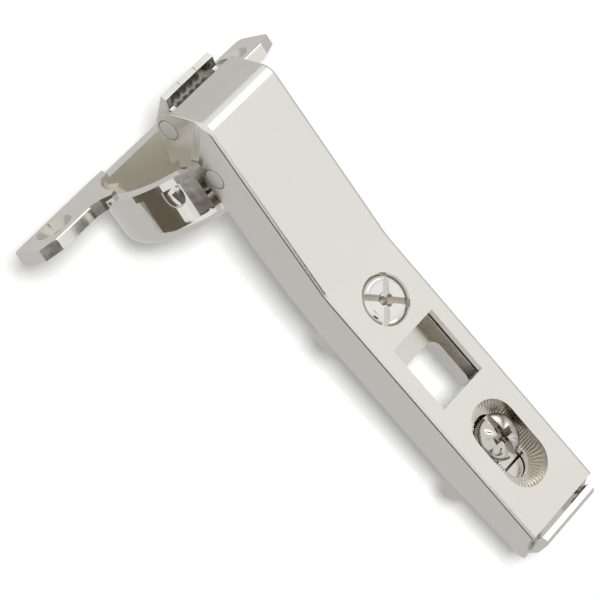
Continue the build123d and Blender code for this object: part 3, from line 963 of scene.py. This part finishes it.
@dataclass
class ArmUnit:
    """The angled arm with its pressed pocket, two riveted pins, washers and closing spring."""

    edge: float = 0.14
    washer_edge: float = 0.08
    pocket: Pair = (38.8, 47.0)
    pocket_floor: float = -3.0
    pocket_reach: float = 5.3
    wall_span: Pair = (-2.95, -0.05)
    ridge_line: float = 3.95
    ridge_length: float = 2.3
    ridge_pitch: float = 0.55
    ridge_radius: float = 0.3
    ridge_lift: float = 0.02
    bend_steps: int = 12
    front_pin: Pair = (13.9, 8.8)
    rear_pin: Pair = (18.3, -2.3)
    nose_face: float = 8.9
    side_face: float = 9.4
    # Half of a riveted pin: radius, and height over the side wall
    head: Profile = ((0.0, 0.10), (1.7, 0.10), (1.95, 0.06), (2.05, -0.08), (2.05, -0.4), (1.5, -0.4))
    # Inner and outer radius of the dark ring of painted shade round each head, and its heights against the
    # side wall
    seat: Pair = (2.0, 2.16)
    seat_span: Pair = (-0.25, 0.015)
    coil: Coil = Coil(5.0, 2.05, 0.48, 8.8)
    leg_lean: float = -78.0
    leg_length: float = 6.0

    def ridges(self) -> Object:
        """Press the ring of ridges into the floor of the pocket.

        Returns:
            The ridges.
        """
        work = bmesh.new()
        place = arm_frame(0.0, self.pocket_floor)
        loop = []
        for end, start in ((self.pocket[1], -90), (self.pocket[0], 90)):
            for k in range(self.bend_steps + 1):
                angle = math.radians(start + 180 * k / self.bend_steps)
                wide, deep = self.ridge_line * math.cos(angle), self.ridge_line * math.sin(angle)
                loop.append(work.verts.new(place @ Vector((end + wide, self.ridge_lift, deep))))
        for k, vertex in enumerate(loop):
            work.edges.new((vertex, loop[(k + 1) % len(loop)]))
        base = bpy.data.meshes.new("pocket_line")
        work.to_mesh(base)
        work.free()
        values = {
            "Pitch": self.ridge_pitch * MM,
            "Ridge Length": self.ridge_length * MM,
            "Ridge Radius": self.ridge_radius * MM,
            "Up": tuple(OUT),
        }
        piece = ridge_recipe().make("pocket_ridges", NICKEL, base, values)
        return settle(piece, "arm", NICKEL, (), 0.0)

    def rivet(self, name: str, node: str, centre: Pair, face: float) -> Object:
        """Turn one pin across the arm with a flat spun head on each side.

        Args:
            name: The piece's name.
            node: The solid it stands for.
            centre: Its X and Y.
            face: Distance of the side wall from the middle.

        Returns:
            The pin.
        """
        near = [(radius, face + height) for radius, height in self.head]
        far = [(radius, -height) for radius, height in reversed(near)]
        piece = turned(name, (*near, *far), pin_frame(*centre))
        return settle(piece, "arm", PIN_STEEL, [node], 0.0)

    def in_pocket(self, middle: Vector, normal: Vector) -> bool:
        """Whether a face of the arm belongs to the wall of its pocket.

        Args:
            middle: The face's middle in millimetres.
            normal: Its normal.

        Returns:
            True for a face of the pocket's wall, which gets painted shade.
        """
        spot = middle - on_arm(0.0)
        past = max(self.pocket[0] - spot.dot(ALONG), spot.dot(ALONG) - self.pocket[1])
        inside = max(past, abs(middle.z)) < self.pocket_reach
        low, high = self.wall_span
        return inside and low < spot.dot(OUT) < high and abs(normal.dot(OUT)) < RUNS_ALONG

    def rivet_shade_ring(self, name: str, centre: Pair, face: float) -> Object:
        """Lay a dark ring of painted shade in the gap round the heads of one pin.

        Args:
            name: The piece's name.
            centre: The pin's X and Y.
            face: Distance of the side wall from the middle.

        Returns:
            The two rings.
        """
        work = bmesh.new()
        inner, outer = self.seat
        for side in (1, -1):
            low, high = (side * (face + height) for height in self.seat_span)
            profile = ((inner, low), (inner, high), (outer, high), (outer, low), (inner, low))
            absorb(work, turned("ring", profile, pin_frame(*centre), 48))
        return settle(as_object(name, work), "arm", SHADE_DARK_STEEL, (), 0.0)

    def spring(self) -> Object:
        """Wind the closing spring on the front pin.

        Returns:
            The spring.
        """
        lean = math.radians(self.leg_lean)
        centre = Vector((*self.front_pin, 0.0))
        start = centre + Vector((math.cos(lean), math.sin(lean), 0.0)) * self.coil.radius
        run = Vector((-math.sin(lean), math.cos(lean), 0.0)) * self.leg_length
        drop = Vector((0.0, 0.0, -self.coil.length / 2))
        leg = (start + drop, start + drop + run)
        piece = self.coil.wind(
            "coil_spring", SPRING_STEEL, centre + drop, (0.0, 0.0, lean), leg, self.coil.length
        )
        return settle(piece, "arm", SPRING_STEEL, ["closing_spring"], 0.0)

    def build(self) -> list[Object]:
        """Build the arm and what is fast in it.

        Returns:
            The finished pieces.
        """
        # The pocket's wall gets painted shade
        wall = ((WALL_SHADE_NICKEL, self.in_pocket),)
        return [
            dressed("arm", "angled_arm", "arm", NICKEL, self.edge, wall),
            self.ridges(),
            self.rivet_shade_ring("front_rivet_shade_ring", self.front_pin, self.nose_face),
            self.rivet_shade_ring("rear_rivet_shade_ring", self.rear_pin, self.side_face),
            self.rivet("front_rivet", "arm_pin_front", self.front_pin, self.nose_face),
            self.rivet("rear_rivet", "arm_pin_rear", self.rear_pin, self.side_face),
            dressed("pin_washers", "side_washers", "arm", PIN_STEEL, self.washer_edge),
            self.spring(),
        ]


@dataclass(frozen=True)
class DriverCut:
    """One straight or tapered cut of a screw's driver recess."""

    size: Pair
    span: Pair
    turn: float = 0.0
    taper: float = 1.0
    shift: Pair = (0.0, 0.0)

    def cutter(self, place: Matrix, turn: float) -> Object:
        """The block that makes this cut in a screw's frame, the whole recess turned by some degrees."""
        angle = turn + self.turn
        return block("cut", self.size, self.span, place, angle, self.taper, self.shift)


@dataclass
class AdjusterUnit:
    """The two adjusting screws and the clamp plate under the depth screw."""

    side_spot: float = 8.0
    side_turn: float = 45.0
    # Both screws: radius and height over the arm's face, from the head to the other end
    side_profile: Profile = (
        (0.0, 0.10), (3.45, 0.10), (3.55, -0.06), (3.78, -0.06), (3.86, 0.04),
        (4.0, 0.0), (4.42, -0.44), (4.65, -0.72), (4.65, -2.3), (2.8, -2.3),
        (2.8, -7.6), (4.0, -7.6), (4.0, -8.8), (0.0, -8.8),
    )
    side_centre: Profile = ((0.0, 1.3), (1.95, 1.3), (1.3, -0.45), (0.62, -1.6), (0.0, -2.1))
    side_centre_steps: int = 20
    side_cuts: tuple[DriverCut, ...] = (
        DriverCut((10.4, 1.25), (-1.1, 2.0)), DriverCut((1.25, 10.6), (-1.14, 2.2))
    )
    # Where the side screw gets painted shade: the gap outside the rim, the centre hole and one slot
    rim_radius: float = 4.4
    rim_floor: float = -1.0
    centre_radius: float = 2.0
    centre_span: Pair = (-2.2, -0.2)
    slot_span: Pair = (-1.2, -0.3)
    slot_half: float = 1.0
    depth_spot: float = 41.0
    depth_turn: float = -8.0
    depth_profile: Profile = (
        (0.0, -0.12), (1.2, -0.14), (2.2, -0.24), (3.0, -0.42), (3.6, -0.66),
        (4.05, -0.95), (4.35, -1.3), (4.46, -1.65), (4.46, -2.7), (2.15, -2.7),
        (2.15, -9.1), (1.7, -9.3), (0.0, -9.3),
    )
    depth_cuts: tuple[DriverCut, ...] = (
        DriverCut((10.0, 1.35), (-1.55, 1.0)),
        DriverCut((1.8, 5.6), (-2.4, 1.0), 0.0, 0.45),
        DriverCut((5.6, 1.8), (-2.4, 1.0), 0.0, 0.45),
        DriverCut((3.0, 3.0), (-1.6, 0.4), 45.0, 0.2),
        *(DriverCut((1.5, 0.34), (-0.8, 1.0), 45.0 + 90.0 * k, 0.6, (2.9, 0.0)) for k in range(4)),
    )
    flutes: float = 8.0
    flute_phase: float = 0.6
    flute_depth: float = 0.12
    flute_start: float = 2.2
    flute_reach: Pair = (0.5, 3.8)
    flute_floor: float = -1.0
    # Height of the surface under the dome at the axis, its fall with the cube of the reach, and
    # the least upward lean of a floor's normal; recess faces under that surface get painted shade, save
    # upward floors outside the cross
    under_dome: Pair = (-0.26, 0.0125)
    floor_lean: float = 0.6
    recess_radius: float = 4.25
    recess_floor: float = -2.6
    cross_radius: float = 2.3
    thread: Coil = Coil(7.0, 2.16, 0.22, 5.4)
    thread_end: float = -9.0

    def side_screw(self) -> Object:
        """Turn the side screw and cut its centre and its full cross slot.

        Returns:
            The screw.
        """
        place = arm_frame(self.side_spot)
        screw = turned("side_adjuster_screw", self.side_profile, place)
        cuts = [turned("centre", self.side_centre, place, self.side_centre_steps)]
        cuts += [cut.cutter(place, self.side_turn) for cut in self.side_cuts]
        others = ((RECESS_SHADE_NICKEL, self.in_side_screw_shade),)
        nodes = ["side_screw"]
        screw = carved(screw, cuts)
        return settle(screw, "side_adjuster", SCREW_NICKEL, nodes, 0.0, others=others)

    def in_side_screw_shade(self, middle: Vector, normal: Vector) -> bool:
        """Whether a face of the side screw gets painted shade, in the slot that lies away from the light or
        elsewhere.

        Args:
            middle: The face's middle in millimetres.
            normal: Its normal.

        Returns:
            True for a face in that slot, in the centre hole or in the gap round the head, all of which get
            painted shade.
        """
        spot = middle - on_arm(self.side_spot)
        height, reach = spot.dot(OUT), math.hypot(spot.dot(ALONG), spot.z)
        in_gap = reach > self.rim_radius and height > self.rim_floor
        low, high = self.centre_span
        in_centre = reach < self.centre_radius and low < height < high
        low, high = self.slot_span
        in_line = abs(spot.dot(ALONG + ACROSS)) < self.slot_half
        in_line = in_line and abs(normal.dot(ALONG - ACROSS)) < RUNS_ALONG
        return in_gap or in_centre or (low < height < high and in_line)

    def flute(self, screw: Object, place: Matrix) -> None:
        """Press faint flutes into the depth screw's head, as the driver's punch leaves them.

        Args:
            screw: The screw.
            place: Its frame, in millimetres.
        """
        back = place.inverted()
        low, high = self.flute_reach
        for vertex in screw.data.vertices:
            spot = back @ vertex.co
            reach = math.hypot(spot.x, spot.z)
            if spot.y > self.flute_floor and low < reach < high:
                wave = math.cos(self.flutes * math.atan2(spot.z, spot.x) + self.flute_phase)
                grown = min(1.0, reach / self.flute_start)
                vertex.co += OUT * (MM * self.flute_depth * grown * wave)

    def in_cross(self, middle: Vector, normal: Vector) -> bool:
        """Whether a face belongs to the depth screw's driver recess.

        Args:
            middle: The face's middle in millimetres.
            normal: Its normal.

        Returns:
            True for a face under the dome's surface, which gets painted shade, but not for the bright floor
            of the long slot.
        """
        spot = middle - on_arm(self.depth_spot)
        reach = math.hypot(spot.dot(ALONG), spot.z)
        middle_height, fall = self.under_dome
        top = middle_height - fall * reach**3
        if reach > self.recess_radius or not self.recess_floor < spot.dot(OUT) < top:
            return False
        return reach < self.cross_radius or normal.dot(OUT) < self.floor_lean

    def depth_screw(self) -> Object:
        """Turn the domed depth screw and cut its crossed driver recess.

        Returns:
            The screw.
        """
        place = arm_frame(self.depth_spot)
        screw = turned("depth_adjuster_screw", self.depth_profile, place)
        self.flute(screw, place)
        screw = carved(screw, [cut.cutter(place, self.depth_turn) for cut in self.depth_cuts])
        others = ((RECESS_SHADE_NICKEL, self.in_cross),)
        nodes = ["depth_screw"]
        return settle(screw, "depth_adjuster", DULL_NICKEL, nodes, 0.0, others=others)

    def depth_thread(self) -> Object:
        """Wind the thread of the depth screw on its shank.

        Returns:
            The thread.
        """
        start = on_arm(self.depth_spot, self.thread_end)
        turn = tuple(OUT.to_track_quat("Z", "Y").to_euler())
        leg = (start, start + OUT)
        piece = self.thread.wind("depth_screw_thread", SCREW_NICKEL, start, turn, leg, 0.0)
        return settle(piece, "depth_adjuster", SCREW_NICKEL, (), 0.0)

    def build(self) -> list[Object]:
        """Build both screws and the clamp.

        Returns:
            The finished pieces.
        """
        return [
            self.side_screw(),
            self.depth_screw(),
            self.depth_thread(),
            dressed("clamp_plate", "clamp_foot", "slider", INNER_STEEL),
        ]


@dataclass
class ClipUnit:
    """The clip adapter in the arm with its hooks and its sprung release lever."""

    edge: float = 0.16
    pin_edge: float = 0.08
    hook_line: float = 7.0
    hook_wall: float = 1.2
    hook_top: float = -9.0
    hook_edge: float = 0.42
    # Name, middle along the arm, width, height of the tips and their share of the width
    hooks: tuple[tuple[str, float, float, float, float], ...] = (
        ("rear_hooks", 45.0, 6.0, -17.2, 0.60), ("front_hooks", 8.3, 6.4, -16.4, 0.70)
    )
    lever_pin: Triple = (51.6, -8.0, -2.0)
    coil: Coil = Coil(5.0, 1.58, 0.34, 4.0)
    leg_drop: float = 1.6
    leg_length: float = 3.4

    def hook_pair(self, name: str, spot: float, width: float, low: float, taper: float) -> Object:
        """Lay one pair of hooks against the adapter's side walls, as long as the picture shows.

        Args:
            name: The piece's name.
            spot: Their middle along the arm.
            width: Their width along the arm.
            low: The height of their tips.
            taper: The tips' width as a share of the width.

        Returns:
            The hooks of both sides.
        """
        work = bmesh.new()
        for side in (1, -1):
            place = arm_frame(spot) @ Matrix.Translation((0, 0, side * self.hook_line))
            size, span = (width, self.hook_wall), (low, self.hook_top)
            absorb(work, block("tab", size, span, place, 0.0, taper))
        piece = as_object(name, work)
        return settle(piece, "clip", INNER_STEEL, (), self.hook_edge, 4)

    def lever_coil(self) -> Object:
        """Wind the small spring on the lever's pin.

        Returns:
            The spring.
        """
        spot = on_arm(*self.lever_pin)
        low = spot - OUT * self.leg_drop
        turn, leg = (0.0, 0.0, LEAN - math.pi / 2), (low, low + ALONG * self.leg_length)
        piece = self.coil.wind("lever_coil", SPRING_STEEL, spot, turn, leg, self.coil.length)
        return settle(piece, "clip", SPRING_STEEL, ["lever_spring"], 0.0)

    def build(self) -> list[Object]:
        """Build the adapter, its hooks, the lever and its pin and spring.

        Returns:
            The finished pieces.
        """
        return [
            dressed("adapter", "clip_channel", "clip", INNER_STEEL, self.edge),
            *(self.hook_pair(*hook) for hook in self.hooks),
            dressed("release_lever", "thumb_lever", "lever", NICKEL),
            dressed("lever_pin", "lever_axle", "clip", PIN_STEEL, self.pin_edge),
            self.lever_coil(),
        ]


@dataclass(frozen=True)
class Lamp:
    """A large soft lamp, placed along the camera's right, up and back from the hinge."""

    name: str
    offset: Triple
    size: float
    power: float
    seen: bool


@dataclass(frozen=True)
class Flag:
    """A long card that only the metal's reflections see, from one direction to another."""

    name: str
    start: Triple
    end: Triple
    half: float
    tone: Triple


@dataclass
class Studio:
    """The pale floor, the soft lights, the flags and the camera of the picture, in metres."""

    eye: Triple = (0.48430, 0.16995, 0.29856)
    right: Triple = (0.601, -0.524, -0.604)
    up: Triple = (0.053, 0.780, -0.624)
    lens_mm: float = 194.2
    sensor_mm: float = 36.0
    sight: Pair = (0.01, 10.0)
    floor_gap: float = 0.0005
    floor_half: float = 3.0
    floor_tone: Triple = (0.86, 0.86, 0.8471)
    floor_lift: float = 0.13
    floor_in_gloss: float = 0.66
    room: float = 0.30
    room_tone: Triple = (0.985, 0.99, 1.0)
    white: float = 1.0
    flag_distance: float = 0.5
    lamps: tuple[Lamp, ...] = (
        Lamp("key_softbox", (0.42, 0.72, 0.42), 0.5, 0.92, True),
        Lamp("shadow_softbox", (0.05, 0.05, 0.96), 0.12, 7.3, False),
    )
    flags: tuple[Flag, ...] = (
        Flag("brown_flag", (-0.27, -0.83, 0.49), (-0.62, -0.79, -0.02), 0.34, (0.14, 0.12, 0.088)),
        Flag("fold_flag", (-0.05, -0.77, 0.64), (0.60, -0.32, 0.73), 0.16, (0.11, 0.095, 0.075)),
    )

    def axes(self) -> tuple[Vector, Vector, Vector]:
        """Square the camera's directions.

        Returns:
            Its right, up and back.
        """
        right = Vector(self.right).normalized()
        up = Vector(self.up)
        up = (up - right * up.dot(right)).normalized()
        return right, up, right.cross(up)

    def middle(self) -> Vector:
        """The middle of the hinge."""
        low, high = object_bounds()
        return (low + high) / 2

    def aim(self, offset: Sequence[float]) -> Vector:
        """The place at a camera's right, up and back distance from the hinge's middle."""
        right, up, back = self.axes()
        return self.middle() + right * offset[0] + up * offset[1] + back * offset[2]

    def camera(self) -> None:
        """Place the camera at the picture's viewpoint."""
        data = bpy.data.cameras.new("picture_camera")
        data.sensor_width = self.sensor_mm
        data.lens = self.lens_mm
        data.clip_start, data.clip_end = self.sight
        data.dof.use_dof = False
        eye = linked("picture_camera", data)
        turn = Matrix(self.axes()).transposed()
        eye.matrix_world = Matrix.Translation(Vector(self.eye)) @ turn.to_4x4()
        bpy.context.scene.camera = eye

    def card(self, name: str, corners: Sequence[Vector]) -> tuple[Object, Wiring]:
        """Set up one flat card with an empty material.

        Args:
            name: The card's name.
            corners: Its four corners.

        Returns:
            The card, at the origin with its place in its mesh, and the wiring of its material.
        """
        mesh = bpy.data.meshes.new(name)
        mesh.from_pydata(corners, [], [(0, 1, 2, 3)])
        card = linked(name, mesh)
        card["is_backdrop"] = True
        paint = bpy.data.materials.new(name)
        mesh.materials.append(paint)
        return card, Wiring.blank(paint)

    def flag(self, plan: Flag) -> None:
        """Hang one flag.

        Args:
            plan: What it is and where it hangs.
        """
        first, last = Vector(plan.start).normalized(), Vector(plan.end).normalized()
        side = first.cross(last).normalized() * plan.half
        spots = (first - side, last - side, last + side, first + side)
        card, wiring = self.card(plan.name, [self.aim(s * self.flag_distance) for s in spots])
        glow = wiring.node("ShaderNodeEmission", Color=(*plan.tone, 1.0))
        wiring.node("ShaderNodeOutputMaterial", Surface=glow.outputs[0])
        card.visible_camera = False
        card.visible_diffuse = False
        card.visible_shadow = False

    def floor(self) -> None:
        """Lay the pale floor under the hinge as the picture shows it, seen from its front only."""
        _, _, back = self.axes()
        meshes = (piece.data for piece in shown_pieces() if piece.type == "MESH")
        low = min(back.dot(vertex.co) for mesh in meshes for vertex in mesh.vertices)
        centre = self.middle()
        centre = centre + back * (low - self.floor_gap - back.dot(centre))
        turn = back.normalized().to_track_quat("Z", "Y")
        half = self.floor_half
        corners = ((-half, -half, 0), (half, -half, 0), (half, half, 0), (-half, half, 0))
        _, wiring = self.card("pale_floor", [centre + turn @ Vector(c) for c in corners])

        rays = wiring.node("ShaderNodeLightPath").outputs
        seen = wiring.operate("MAXIMUM", rays["Is Camera Ray"], rays["Is Transmission Ray"])
        strength = wiring.operate("MULTIPLY", seen, self.floor_lift)
        lift = wiring.node("ShaderNodeEmission", Color=WHITE, Strength=strength).outputs[0]
        matt = wiring.node("ShaderNodeBsdfDiffuse", Color=(*self.floor_tone, 1.0)).outputs[0]
        lifted = wiring.node("ShaderNodeAddShader", _0=matt, _1=lift).outputs[0]
        even = wiring.node("ShaderNodeEmission", Color=WHITE, Strength=self.floor_in_gloss)
        mirrored = wiring.node(
            "ShaderNodeMixShader", _0=rays["Is Glossy Ray"], _1=lifted, _2=even.outputs[0]
        )
        behind = wiring.node("ShaderNodeNewGeometry").outputs["Backfacing"]
        clear = wiring.node("ShaderNodeBsdfTransparent").outputs[0]
        front = wiring.node("ShaderNodeMixShader", _0=behind, _1=mirrored.outputs[0], _2=clear)
        wiring.node("ShaderNodeOutputMaterial", Surface=front.outputs[0])

    def lamp(self, plan: Lamp) -> None:
        """Hang one lamp that points at the hinge.

        Args:
            plan: What it is and where it hangs.
        """
        data = bpy.data.lights.new(plan.name, "AREA")
        data.shape = "SQUARE"
        data.size = plan.size
        data.energy = plan.power
        place = self.aim(plan.offset)
        turn = (place - self.middle()).to_track_quat("Z", "Y").to_matrix().to_4x4()
        lamp = linked(plan.name, data)
        lamp.matrix_world = Matrix.Translation(place) @ turn
        lamp.visible_glossy = plan.seen

    def world(self) -> None:
        """Set the even room light and the white background."""
        world = bpy.data.worlds.new("studio_room")
        bpy.context.scene.world = world
        wiring = Wiring.blank(world)
        rays = wiring.node("ShaderNodeLightPath").outputs
        seen = wiring.operate("MAXIMUM", rays["Is Camera Ray"], rays["Is Glossy Ray"])
        seen = wiring.operate("MAXIMUM", seen, rays["Is Transmission Ray"])
        room = wiring.node(
            "ShaderNodeBackground", Color=(*self.room_tone, 1.0), Strength=self.room
        ).outputs[0]
        white = wiring.node("ShaderNodeBackground", Color=WHITE, Strength=self.white).outputs[0]
        mix = wiring.node("ShaderNodeMixShader", _0=seen, _1=room, _2=white)
        wiring.node("ShaderNodeOutputWorld", Surface=mix.outputs[0])

    def build(self) -> None:
        """Build the whole studio round the finished hinge."""
        self.camera()
        self.floor()
        for lamp in self.lamps:
            self.lamp(lamp)
        for flag in self.flags:
            self.flag(flag)
        self.world()
        bpy.context.scene.view_settings.view_transform = "Standard"


def write_size(stage: str, sizes: dict[str, list[float]]) -> None:
    """Note the shown object's size with the notes so far.

    Args:
        stage: Which moment this is.
        sizes: The notes so far, by moment.
    """
    low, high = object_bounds()
    sizes[stage] = [round(v, 6) for v in (*low, *high)]


def main() -> None:
    """Build every unit of the hinge, then the studio round it."""
    sizes: dict[str, list[float]] = {}
    write_size("loaded", sizes)
    for unit in (CupUnit(), LinkUnit(), ArmUnit(), AdjusterUnit(), ClipUnit()):
        made = unit.build()
        log.info("%s: %d pieces", type(unit).__name__, len(made))
    Studio().build()
    write_size("finished", sizes)


if __name__ == "__main__":
    logging.basicConfig(level=logging.INFO, format="%(message)s")
    main()
